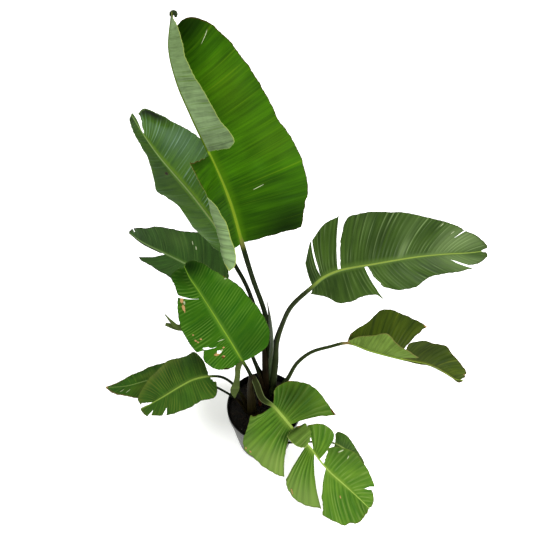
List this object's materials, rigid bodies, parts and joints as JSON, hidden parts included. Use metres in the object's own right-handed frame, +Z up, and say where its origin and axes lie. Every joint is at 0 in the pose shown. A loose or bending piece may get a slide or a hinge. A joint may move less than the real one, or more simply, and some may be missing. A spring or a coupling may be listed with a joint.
{
  "type": "potted bird of paradise plant",
  "caption": "Tall white bird of paradise house plant with long-stalked, paddle-shaped, torn and curling leaves, growing from soil in a tapered black nursery pot.",
  "frame": {"origin": "middle of the pot's underside, on the floor", "axes": "+Z up, the way the plant grows; -Y the front, where the plant is looked at from; +X to the right of that"},
  "size_m": [1.1921, 0.8116, 1.4049],
  "materials": {
    "pot": "black moulded plastic, satin, lightly scuffed",
    "soil": "damp dark potting mix of bark, peat and pale grit",
    "leaf": "leathery leaf with pleats along its veins, satin above and duller grey-green below",
    "dry_sheath": "dried red-brown leaf base"
  },
  "bodies": {
    "root": {"pot": "pot", "soil": "soil", "new_leaf": "leaf", "leaf_a": "leaf", "leaf_b": "leaf", "leaf_c": "leaf", "leaf_d": "leaf", "leaf_e": "leaf", "leaf_f": "leaf", "leaf_g": "leaf", "leaf_h": "leaf", "leaf_i": "leaf", "leaf_j": "leaf", "old_stub": "dry_sheath"}
  },
  "joints": []
}
